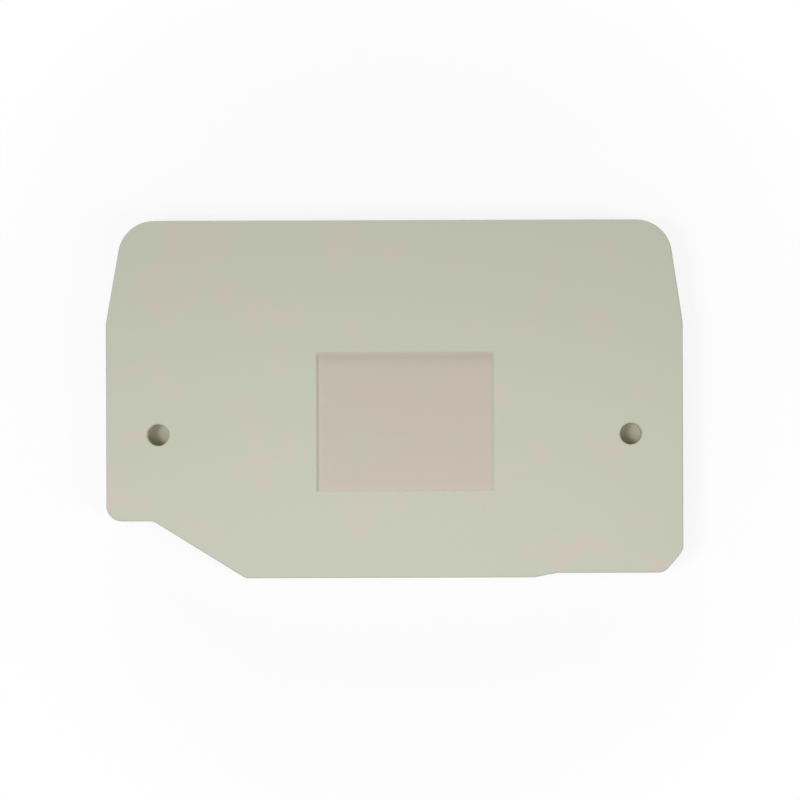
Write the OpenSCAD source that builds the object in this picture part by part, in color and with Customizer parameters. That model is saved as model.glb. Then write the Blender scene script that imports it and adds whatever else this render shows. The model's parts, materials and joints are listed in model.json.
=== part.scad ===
// Partition plate for rail-mounted terminal blocks: one moulded plate that stands between two
// terminals. It lies face up here, with X along its length, Y towards its top edge and Z out of
// its face. The origin is under the middle of the plate, at the height of the peg tips.

/* [Plate] */
// Overall length of the plate
plate_length = 67; // [56:0.5:90]
// Overall height of the plate, from its rail side to its top edge
plate_height = 41.55; // [36:0.05:60]
// Thickness of the plate
plate_thickness = 2.5; // [1.8:0.1:5]
// Radius rolled on the edge of the front face
front_edge_radius = 0.2; // [0.1:0.05:0.5]

/* [Top] */
// Radius of the two top corners
top_corner_radius = 4.2; // [1:0.1:8]
// Depth of the tapered shoulders below the top edge
shoulder_depth = 11.95; // [9:0.05:18]
// How far the left shoulder leans in at the top edge
left_taper = 2.1; // [0.5:0.05:5]
// How far the right shoulder leans in at the top edge
right_taper = 1.8; // [0.5:0.05:5]
// Radius where a shoulder meets the upright side
shoulder_radius = 4; // [1:0.5:10]

/* [Rail side] */
// Length of the step under the left end
step_length = 5.45; // [4:0.05:9]
// Height of the step above the lowest edge
step_height = 6.65; // [3:0.05:10]
// Radius of the outer corner of the step
step_corner_radius = 1.8; // [0.8:0.1:3]
// Length of the slope from the step down to the lowest edge
slope_length = 10.7; // [5:0.1:16]
// Radius at both ends of the slope
slope_radius = 1.2; // [0.8:0.1:3]
// Length of the raised foot at the right end
foot_length = 14.75; // [9:0.25:20]
// How far the foot is raised above the lowest edge
foot_rise = 0.5; // [0.2:0.05:1.5]
// Length of the ramp up to the foot
ramp_length = 2.55; // [1.5:0.05:5]
// Length of the bevel across the outer corner of the foot
bevel_length = 2.2; // [1.5:0.05:5]
// Height of the bevel across the outer corner of the foot
bevel_height = 2.6; // [1.5:0.05:6]
// Radius at both ends of the bevel
bevel_radius = 1.6; // [0.8:0.1:2]
// Radius at both ends of the ramp
ramp_radius = 1; // [0.8:0.1:3]

/* [Label field] */
// Length of the sunken field for a label
field_length = 20.7; // [10:0.1:30]
// Height of the sunken field
field_height = 16.4; // [8:0.1:20]
// How far the middle of the field lies to the right of the middle of the plate
field_offset = 1.25; // [-5:0.05:5]
// Height of the middle of the field above the lowest edge
field_rise = 18.05; // [14:0.05:22]
// Depth of the field
field_depth = 0.3; // [0.1:0.05:0.6]
// How far the walls of the field lean in over its depth
field_lean = 0.3; // [0.05:0.05:0.5]

/* [Sockets and pegs] */
// Diameter of the blind sockets in the front face
socket_diameter = 2.5; // [1.8:0.1:4]
// Distance from the axis of a socket to the nearer side
socket_inset = 6.05; // [4:0.05:10]
// Height of the sockets above the lowest edge
socket_rise = 16.65; // [13:0.05:22]
// Thickness of the floor left under a socket
socket_floor = 0.6; // [0.4:0.1:1]
// Bevel round the mouth of a socket
socket_lead = 0.15; // [0.05:0.05:0.4]
// Gap all round a peg in the socket of the next plate
peg_clearance = 0.05; // [0.02:0.01:0.2]
// Gap between the tip of a peg and the floor of that socket
peg_end_gap = 0.2; // [0.1:0.05:0.5]
// Bevel on the tip of a peg
peg_lead = 0.3; // [0.1:0.05:0.5]

/* [Ejector marks] */
// Diameter of the round marks that the mould leaves on the back
ejector_diameter = 4; // [2:0.5:6]
// Depth of the marks
ejector_depth = 0.12; // [0.05:0.01:0.3]
// Distance from the outer marks to the nearer side
ejector_side_inset = 12; // [10:0.5:20]
// Distance from the upper marks to the top edge
ejector_top_inset = 8.5; // [6:0.5:12]
// Height of the lower marks above the lowest edge
ejector_rise = 9; // [7:0.5:12]

/* [Hidden] */
$fn = 96;

// Colour of the moulded plastic
plastic = [0.765, 0.765, 0.702];
// How far a cutting shape runs past the faces that it cuts
reach = 1;
// How far a straight cut runs on past the start of an outer corner's arc
lap = 0.05;
// How far a rounding stands proud of the faces it joins, so that they cross and don't only touch
proud = 0.001;

right = plate_length / 2;
left = -right;
top = plate_height / 2;
bottom = -top;

socket_radius = socket_diameter / 2;
socket_depth = plate_thickness - socket_floor;
socket_x = right - socket_inset;
socket_y = bottom + socket_rise;
peg_radius = socket_radius - peg_clearance;
peg_length = socket_depth - peg_end_gap;

back_z = peg_length;
front_z = back_z + plate_thickness;
shoulder_y = top - shoulder_depth;
foot_y = bottom + foot_rise;
foot_x = right - foot_length;
step_x = left + step_length;
step_y = bottom + step_height;

// Corners of the outline before rounding, anticlockwise from the foot of the slope: [point, radius]
corners = [
  [[step_x + slope_length, bottom], slope_radius],
  [[foot_x - ramp_length, bottom], ramp_radius],
  [[foot_x, foot_y], ramp_radius],
  [[right - bevel_length, foot_y], bevel_radius],
  [[right, foot_y + bevel_height], bevel_radius],
  [[right, shoulder_y], shoulder_radius],
  [[right - right_taper, top], top_corner_radius],
  [[left + left_taper, top], top_corner_radius],
  [[left, shoulder_y], shoulder_radius],
  [[left, step_y], step_corner_radius],
  [[step_x, step_y], slope_radius],
];
corner_count = len(corners);
every_corner = [0 : corner_count - 1];

// A corner and its straight edges: edge i runs from corner i to corner i + 1
function corner(i) = corners[(i + corner_count) % corner_count];
function point(i) = corner(i)[0];
function radius(i) = corner(i)[1];
function edge(i) = point(i + 1) - point(i);
function heading(i) = atan2(edge(i)[1], edge(i)[0]);
function turn(i) = (heading(i) - heading(i - 1) + 540) % 360 - 180;
function is_outer(i) = turn(i) > 0;

// The ends and the centre of a corner's arc
function setback(i) = radius(i) * tan(abs(turn(i)) / 2);
function arc_start(i) = point(i) - edge(i - 1) / norm(edge(i - 1)) * setback(i);
function arc_end(i) = point(i) + edge(i) / norm(edge(i)) * setback(i);
function inward(angle) = [-sin(angle), cos(angle)];
function arc_centre(i) = arc_start(i) + inward(heading(i - 1)) * radius(i) * sign(turn(i));

// Outline with straight edges only: outer corners open to their centres, inner ones filled across
function straight_outline() = [
  for (i = every_corner)
    each is_outer(i) ? [arc_start(i), arc_centre(i), arc_end(i)] : [arc_start(i), arc_end(i)],
];

// Section of what the front edge's radius takes away, with the sharp edge at the origin
module edge_section() {
  difference() {
    square(2 * front_edge_radius, center = true);
    translate([front_edge_radius, -front_edge_radius]) circle(front_edge_radius + proud);
  }
}

// Rolls the front edge along straight edge i, and a little past its outer corners
module straight_edge_cut(i) {
  before = is_outer(i) ? lap : 0;
  after = is_outer(i + 1) ? lap : 0;
  run = norm(arc_start(i + 1) - arc_end(i));
  translate([each arc_end(i), plate_thickness])
    rotate(heading(i))
      translate([-before, 0])
        rotate([90, 0, 90])
          linear_extrude(before + run + after) edge_section();
}

// Fills outer corner i with a disc that has the same rolled edge
module outer_corner(i) {
  disc_radius = radius(i) + proud;
  translate(arc_centre(i))
    rotate_extrude()
      difference() {
        square([disc_radius, plate_thickness]);
        translate([disc_radius, plate_thickness]) mirror([1, 0]) edge_section();
      }
}

// Hollows inner corner i out to its radius, flared to the same rolled edge
module inner_corner_cut(i) {
  hollow_radius = radius(i) + proud;
  translate(arc_centre(i))
    rotate_extrude() {
      translate([0, -reach]) square([hollow_radius, plate_thickness + 2 * reach]);
      translate([hollow_radius, plate_thickness]) edge_section();
    }
}

// The plate itself, with its back face at z = 0
module plate_blank() {
  difference() {
    linear_extrude(plate_thickness) polygon(straight_outline());
    for (i = every_corner) straight_edge_cut(i);
    for (i = every_corner) if (!is_outer(i)) inner_corner_cut(i);
  }
  for (i = every_corner) if (is_outer(i)) outer_corner(i);
}

// Side of the label field: a wall section that widens towards the front, drawn out to a length
module field_side(width, length) {
  half = width / 2;
  slope = field_lean / field_depth;
  rotate([90, 0, 0])
    linear_extrude(length, center = true)
      polygon([
        [-half + field_lean, -field_depth],
        [half - field_lean, -field_depth],
        [half + slope * reach, reach],
        [-half - slope * reach, reach],
      ]);
}

module label_field_cut() {
  translate([field_offset, bottom + field_rise, front_z])
    intersection() {
      field_side(field_length, field_height + 2 * reach);
      rotate(90) field_side(field_height, field_length + 2 * reach);
    }
}

module socket_cut() {
  translate([0, 0, front_z - socket_depth]) cylinder(r = socket_radius, h = socket_depth + reach);
  translate([0, 0, front_z - socket_lead])
    cylinder(r1 = socket_radius, r2 = socket_radius + socket_lead + reach, h = socket_lead + reach);
}

module peg() {
  cylinder(r1 = peg_radius - peg_lead, r2 = peg_radius, h = peg_lead);
  translate([0, 0, peg_lead]) cylinder(r = peg_radius, h = peg_length - peg_lead + socket_floor / 2);
}

module ejector_marks_cut() {
  for (x = [left + ejector_side_inset, 0, right - ejector_side_inset])
    for (y = [bottom + ejector_rise, top - ejector_top_inset])
      translate([x, y, back_z - reach])
        cylinder(d = ejector_diameter, h = reach + ejector_depth);
}

module at_sockets() {
  for (x = [-socket_x, socket_x]) translate([x, socket_y]) children();
}

module partition_plate() {
  color(plastic) {
    difference() {
      translate([0, 0, back_z]) plate_blank();
      label_field_cut();
      at_sockets() socket_cut();
      ejector_marks_cut();
    }
    at_sockets() peg();
  }
}

partition_plate();
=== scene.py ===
"""Terminal block partition plate: the finish of its moulded plastic, a plain studio and the camera."""

import json
import math

import bpy
from mathutils import Matrix, Vector


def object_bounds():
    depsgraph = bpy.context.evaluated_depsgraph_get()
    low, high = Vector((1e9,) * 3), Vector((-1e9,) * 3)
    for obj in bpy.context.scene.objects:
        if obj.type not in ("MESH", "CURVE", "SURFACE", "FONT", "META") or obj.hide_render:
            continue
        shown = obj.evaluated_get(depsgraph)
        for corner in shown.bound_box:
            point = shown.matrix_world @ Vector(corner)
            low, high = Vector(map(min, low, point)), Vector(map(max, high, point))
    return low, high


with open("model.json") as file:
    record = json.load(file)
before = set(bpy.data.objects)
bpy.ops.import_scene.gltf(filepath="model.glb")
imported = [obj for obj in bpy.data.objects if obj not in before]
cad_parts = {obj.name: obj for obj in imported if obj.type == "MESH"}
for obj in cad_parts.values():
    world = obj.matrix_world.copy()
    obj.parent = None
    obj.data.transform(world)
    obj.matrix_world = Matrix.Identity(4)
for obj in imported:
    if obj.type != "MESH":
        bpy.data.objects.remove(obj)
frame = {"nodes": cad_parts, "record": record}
cad_low, cad_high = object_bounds()

MM = 0.001
PLATE = "partition_plate"

# Flat faces of the plate: the least upright share of their normals, and the decimals of their height in mm
FLAT_NORMAL = 0.9999
HEIGHT_DECIMALS = 2

# Edges of the mould, in mm and degrees: closer points are one, flatter faces merge and sharper edges are
# rounded; the weight lets the large faces set the shading beside them
WELD_GAP = 0.003
FLAT_ANGLE = 0.1
EDGE_ROUNDING = 0.05
EDGE_STEPS = 3
SHARP_ANGLE = 25
FACE_WEIGHT = 100

# Colours of the plastic and of its sockets' painted shade, as linear values, and its index of refraction
FACE_COLOUR = (0.528, 0.5435, 0.440)
WARM_COLOUR = (0.570, 0.526, 0.4445)
FIELD_COLOUR = (0.530, 0.469, 0.400)
FIELD_GREEN = (0.523, 0.481, 0.4035)
# The sockets' colour is painted shade, darker and browner than the plastic, where little light reaches
SOCKET_SHADE_COLOUR = (0.47, 0.452, 0.348)
PLASTIC_IOR = 1.5

# Patches of warmer and greener tone: their size in mm, how far their pattern is moved along the plate,
# the pattern's detail and roughness, and where in it they begin and are full
PATCH_SIZE = 6
PATCH_SHIFT = (504.5, -236.5, 0)
PATCH_DETAIL, PATCH_ROUGHNESS = 4, 0.55
WARM_FROM, WARM_FULL = 0.54, 0.66
GREEN_FROM, GREEN_FULL = 0.50, 0.38

# Relief of the surface, in mm: size and height of the eroded grain and of the waves from moulding
GRAIN_SIZE, GRAIN_HEIGHT = 0.16, 0.012
GRAIN_DETAIL, GRAIN_ROUGHNESS = 3, 0.6
WAVE_SIZE, WAVE_HEIGHT = 2.2, 0.006

# Height of the grain in the field, as a share of its height on the face
FIELD_GRAIN = 0.4

# Spots of duller sheen: their size in mm, their pattern's detail, where in it they begin and are full,
# and the surface's roughness outside and inside them
SHEEN_SIZE = 0.25
SHEEN_DETAIL = 3
DULL_FROM, DULL_FULL = 0.3, 0.7
ROUGHNESS_LOW, ROUGHNESS_HIGH = 0.6, 0.68

# Turned rings in the round marks on the back, in mm; the points of one mark lie within its reach
RING_SPACING, RING_HEIGHT = 0.35, 0.003
MARK_REACH = 8

# Painted shade darkens the sockets from this depth below the face down to this one, in mm
SOCKET_SHADE_FROM, SOCKET_SHADE_FULL = 0.1, 1.0

# Slack round the field and the marks, where the plastic changes, and round the sockets' painted shade, in
# mm
SLACK = 0.06

# A distance longer than any on the plate, in mm
FAR = 1000

# The photograph's frame, in pixels: its side, the length of a millimetre and the plate's middle
IMAGE_SIDE = 800
PIXELS_PER_MM = 8.616
PLATE_MIDDLE = (394.47, 398.94)

# The plate's turn in that frame, in degrees, and the camera's lens and sensor, in mm
PLATE_TURN = 0.189
LENS = 100
SENSOR = 36

# The room: its light, as a share of the plain level at which a colour renders as written, and the
# brightness and colour that the eye sees
ROOM_LEVEL = 0.105
SEEN_LEVEL = 1.0
WHITE = (1, 1, 1, 1)

# The paper under the plate: its side and the gap under the pegs in mm, the share of its own glow near the
# plate, and the distances from the middle, in mm, between which it grows to a full glow
FLOOR_COLOUR = (0.93, 0.93, 0.93, 1)
FLOOR_SIZE = 3000
FLOOR_GAP = 0.02
FLOOR_GLOW = 0.84
FADE_FROM, FADE_FULL = 34, 60


def flat_faces(node, direction):
    """Corner points of the node's faces that look straight up (1) or down (-1).

    They are in one list for each height, the highest first.
    """
    mesh = frame["nodes"][node].data
    found = {}
    for face in mesh.polygons:
        if face.normal.z * direction > FLAT_NORMAL:
            height = round(face.center.z / MM, HEIGHT_DECIMALS)
            found.setdefault(height, []).extend(mesh.vertices[i].co for i in face.vertices)
    return [found[height] for height in sorted(found, reverse=True)]


def box_of(points):
    """The lowest and highest corners of the box round some points."""
    low = [min(p[i] for p in points) for i in range(3)]
    high = [max(p[i] for p in points) for i in range(3)]
    return low, high


def middles(points, reach):
    """The middle of each group of points, where a group lies within that reach of its first point."""
    groups = []
    for point in points:
        group = next((g for g in groups if (g[0] - point).length < reach), None)
        if group is None:
            group = []
            groups.append(group)
        group.append(point)
    boxes = [box_of(group) for group in groups]
    return [[(a + b) / 2 for a, b in zip(low, high)] for low, high in boxes]


def node_maker(tree):
    """A function that adds a node, sets its properties and links or sets its inputs."""

    def add(kind, inputs=None, **properties):
        node = tree.nodes.new("ShaderNode" + kind)
        for name, value in properties.items():
            setattr(node, name, value)
        for key, value in (inputs or {}).items():
            if isinstance(value, bpy.types.NodeSocket):
                tree.links.new(value, node.inputs[key])
            else:
                node.inputs[key].default_value = value
        return node

    return add


def new_material(name):
    material = bpy.data.materials.new(name)
    material.use_nodes = True
    material.node_tree.nodes.clear()
    return material


def maths(add, operation, *values):
    return add("Math", dict(enumerate(values)), operation=operation).outputs[0]


def remap(add, value, low, high, to_low=0, to_high=1):
    return add("MapRange", {0: value, 1: low, 2: high, 3: to_low, 4: to_high}).outputs[0]


def noise(add, position, size, detail=2.0, roughness=0.5):
    """Noise whose blotches are about that many millimetres across."""
    inputs = {"Vector": position, "Scale": 1 / (size * MM), "Detail": detail, "Roughness": roughness}
    return add("TexNoise", inputs).outputs["Fac"]


def mix_colour(add, share, first, second):
    """Colour from first to second; each is a socket or three linear values."""
    ends = [end if isinstance(end, bpy.types.NodeSocket) else (*end, 1) for end in (first, second)]
    return add("Mix", {0: share, 6: ends[0], 7: ends[1]}, data_type="RGBA").outputs[2]


def in_box(add, position, low, high):
    """1 inside a box of the object's own coordinates and 0 outside it."""
    axes = add("SeparateXYZ", {0: position}).outputs
    inside = 1
    for i in range(3):
        middle = (low[i] + high[i]) / 2
        half = (high[i] - low[i]) / 2 + SLACK * MM
        inside = maths(add, "MULTIPLY", inside, maths(add, "COMPARE", axes[i], middle, half))
    return inside


def distance_to_nearest(add, position, places):
    """Distance along the plate to the nearest of some places."""
    flat = add("VectorMath", {0: position, 1: (1, 1, 0)}, operation="MULTIPLY").outputs[0]
    nearest = FAR * MM
    for x, y, _ in places:
        away = add("VectorMath", {0: flat, 1: (x, y, 0)}, operation="DISTANCE").outputs["Value"]
        nearest = maths(add, "MINIMUM", nearest, away)
    return nearest


def painted_socket_shade(add, position):
    """Share of painted shade: from 0 at the mouth of a socket to 1 in its depth, and 0 elsewhere."""
    bores = [m for m in frame["record"]["mounts"] if m["kind"] == "bore"]
    size = bores[0]["dims"]
    floor = bores[0]["pos_m"][2] - size["length_mm"] / 2 * MM
    away = distance_to_nearest(add, position, [m["pos_m"] for m in bores])
    height = add("SeparateXYZ", {0: position}).outputs[2]
    inside = maths(add, "LESS_THAN", away, (size["r_mm"] + SLACK) * MM)
    above = maths(add, "GREATER_THAN", height, floor - SLACK * MM)
    face = cad_high.z
    depth = remap(add, height, face - SOCKET_SHADE_FROM * MM, face - SOCKET_SHADE_FULL * MM)
    return maths(add, "MULTIPLY", maths(add, "MULTIPLY", inside, above), depth)


def plastic_colour(add, position, field):
    """Beige grey with faint warm patches, a warmer field with greener ones, and sockets with painted
    shade.
    """
    shift = [distance * MM for distance in PATCH_SHIFT]
    moved = add("VectorMath", {0: position, 1: shift}, operation="ADD").outputs[0]
    patches = noise(add, moved, PATCH_SIZE, PATCH_DETAIL, PATCH_ROUGHNESS)
    warm = remap(add, patches, WARM_FROM, WARM_FULL)
    green = remap(add, patches, GREEN_FROM, GREEN_FULL)
    face_colour = mix_colour(add, warm, FACE_COLOUR, WARM_COLOUR)
    field_colour = mix_colour(add, green, FIELD_COLOUR, FIELD_GREEN)
    colour = mix_colour(add, field, face_colour, field_colour)
    # Painted shade: the sockets turn darker and browner towards their depth
    return mix_colour(add, painted_socket_shade(add, position), colour, SOCKET_SHADE_COLOUR)


def roughness(add, position):
    """Matte all over, with fine duller spots."""
    spots = noise(add, position, SHEEN_SIZE, SHEEN_DETAIL)
    return remap(add, spots, DULL_FROM, DULL_FULL, ROUGHNESS_LOW, ROUGHNESS_HIGH)


def ring_relief(add, position):
    """Height of the turned rings that the ejector pins print into their marks."""
    marks = flat_faces(PLATE, -1)[0]
    low, high = box_of(marks)
    away = distance_to_nearest(add, position, middles(marks, MARK_REACH * MM))
    wave = maths(add, "SINE", maths(add, "MULTIPLY", away, 2 * math.pi / (RING_SPACING * MM)))
    inside = in_box(add, position, low, high)
    return maths(add, "MULTIPLY", maths(add, "MULTIPLY", wave, RING_HEIGHT * MM), inside)


def relief(add, position, field):
    """Height of the fine grain, which is weaker in the field, with the waves of moulding and the rings."""
    grain = noise(add, position, GRAIN_SIZE, GRAIN_DETAIL, GRAIN_ROUGHNESS)
    height = remap(add, field, 0, 1, GRAIN_HEIGHT * MM, GRAIN_HEIGHT * FIELD_GRAIN * MM)
    waves = noise(add, position, WAVE_SIZE)
    rings = ring_relief(add, position)
    total = maths(add, "MULTIPLY_ADD", grain, height, rings)
    return maths(add, "MULTIPLY_ADD", waves, WAVE_HEIGHT * MM, total)


def plastic():
    """Matte moulded plastic with a fine eroded grain."""
    material = new_material("moulded_plastic")
    add = node_maker(material.node_tree)
    position = add("TexCoord").outputs["Object"]
    field = in_box(add, position, *box_of(flat_faces(PLATE, 1)[1]))

    inputs = {"IOR": PLASTIC_IOR}
    inputs["Base Color"] = plastic_colour(add, position, field)
    inputs["Roughness"] = roughness(add, position)
    height = relief(add, position, field)
    # The heights are in metres, so the bump takes them as they are
    inputs["Normal"] = add("Bump", {"Height": height, "Strength": 1.0, "Distance": 1.0}).outputs[0]
    shader = add("BsdfPrincipled", inputs)
    add("OutputMaterial", {"Surface": shader.outputs[0]})
    return material


def finish_plate():
    """Rounds the mould's sharp edges and gives the plate its plastic."""
    plate = frame["nodes"][PLATE]
    weld = plate.modifiers.new("weld", "WELD")
    weld.merge_threshold = WELD_GAP * MM
    merging = plate.modifiers.new("flat_faces", "DECIMATE")
    merging.decimate_type = "DISSOLVE"
    merging.angle_limit = math.radians(FLAT_ANGLE)
    rounding = plate.modifiers.new("edge_rounding", "BEVEL")
    rounding.width = EDGE_ROUNDING * MM
    rounding.segments = EDGE_STEPS
    rounding.limit_method = "ANGLE"
    rounding.angle_limit = math.radians(SHARP_ANGLE)
    rounding.use_clamp_overlap = False
    shading = plate.modifiers.new("shading", "WEIGHTED_NORMAL")
    shading.weight = FACE_WEIGHT
    plate.material_slots[0].material = plastic()


def seen_directly(add):
    """1 for camera, glossy and transmission rays, 0 for the light that falls on things."""
    path = add("LightPath").outputs
    either = maths(add, "MAXIMUM", path["Is Camera Ray"], path["Is Glossy Ray"])
    return maths(add, "MAXIMUM", either, path["Is Transmission Ray"])


def make_world():
    """A soft white room; the eye and reflections see it as plain white."""
    world = bpy.data.worlds.new("studio")
    world.use_nodes = True
    world.node_tree.nodes.clear()
    add = node_maker(world.node_tree)
    strength = remap(add, seen_directly(add), 0, 1, ROOM_LEVEL, SEEN_LEVEL)
    shown = add("Background", {"Color": WHITE, "Strength": strength})
    add("OutputWorld", {"Surface": shown.outputs[0]})
    bpy.context.scene.world = world


def white_paper():
    """Paper that takes the plate's shadow; its glow grows outwards, for the eye and reflections alone."""
    material = new_material("white_paper")
    add = node_maker(material.node_tree)
    position = add("TexCoord").outputs["Object"]
    away = add("VectorMath", {0: position}, operation="LENGTH").outputs["Value"]
    glowing = remap(add, away, FADE_FROM * MM, FADE_FULL * MM, FLOOR_GLOW, 1)
    share = maths(add, "MULTIPLY", seen_directly(add), glowing)
    paper = add("BsdfDiffuse", {"Color": FLOOR_COLOUR})
    glow = add("Emission", {"Color": WHITE, "Strength": SEEN_LEVEL})
    mixed = add("MixShader", {0: share, 1: paper.outputs[0], 2: glow.outputs[0]})
    add("OutputMaterial", {"Surface": mixed.outputs[0]})
    return material


def make_floor():
    """A large sheet of paper just under the pegs."""
    half = FLOOR_SIZE / 2 * MM
    mesh = bpy.data.meshes.new("floor")
    corners = [(-half, -half, 0), (half, -half, 0), (half, half, 0), (-half, half, 0)]
    mesh.from_pydata(corners, [], [(0, 1, 2, 3)])
    mesh.materials.append(white_paper())
    floor = bpy.data.objects.new("floor", mesh)
    floor.location.z = cad_low.z - FLOOR_GAP * MM
    bpy.context.scene.collection.objects.link(floor)


def soft_light(name, azimuth, elevation, distance, width, depth, level):
    """A lamp aimed at the plate, with lengths in mm; azimuth runs anticlockwise from +X.

    The level is what the lamp would give if it were small for its distance.
    """
    a, e = math.radians(azimuth), math.radians(elevation)
    towards = Vector((math.cos(a) * math.cos(e), math.sin(a) * math.cos(e), math.sin(e)))
    lamp = bpy.data.lights.new(name, "AREA")
    lamp.shape = "RECTANGLE"
    lamp.size = width * MM
    lamp.size_y = depth * MM
    lamp.energy = level * (math.pi * distance * MM) ** 2 / math.sin(e)
    light = bpy.data.objects.new(name, lamp)
    light.location = Vector((0, 0, cad_high.z)) + towards * distance * MM
    light.rotation_mode = "QUATERNION"
    light.rotation_quaternion = (-towards).to_track_quat("-Z", "Y")
    light.visible_camera = False
    bpy.context.scene.collection.objects.link(light)


def make_lights():
    """A wide near lamp over the rail side, one on each side, and a low one past the top edge."""
    soft_light("near_light", azimuth=270, elevation=62, distance=45, width=120, depth=40, level=0.47)
    soft_light("left_light", azimuth=192, elevation=55, distance=1500, width=450, depth=450, level=0.375)
    soft_light("right_light", azimuth=338, elevation=36, distance=1500, width=450, depth=450, level=0.165)
    soft_light("low_light", azimuth=95, elevation=15, distance=1500, width=350, depth=350, level=0.115)


def make_camera():
    """Looks straight down on the plate, as the photograph does, a little turned."""
    data = bpy.data.cameras.new("camera")
    data.lens = LENS
    data.sensor_width = SENSOR
    turn = Matrix.Rotation(math.radians(-PLATE_TURN), 4, "Z")
    right = (IMAGE_SIDE / 2 - PLATE_MIDDLE[0]) / PIXELS_PER_MM
    up = (PLATE_MIDDLE[1] - IMAGE_SIDE / 2) / PIXELS_PER_MM
    seen_width = IMAGE_SIDE / PIXELS_PER_MM
    distance = seen_width * LENS / SENSOR
    camera = bpy.data.objects.new("camera", data)
    place = turn @ Vector((right * MM, up * MM, 0))
    camera.matrix_world = Matrix.Translation((place.x, place.y, cad_high.z + distance * MM)) @ turn
    bpy.context.scene.collection.objects.link(camera)
    bpy.context.scene.camera = camera


finish_plate()
make_world()
make_floor()
make_lights()
make_camera()
bpy.context.scene.view_settings.view_transform = "Standard"
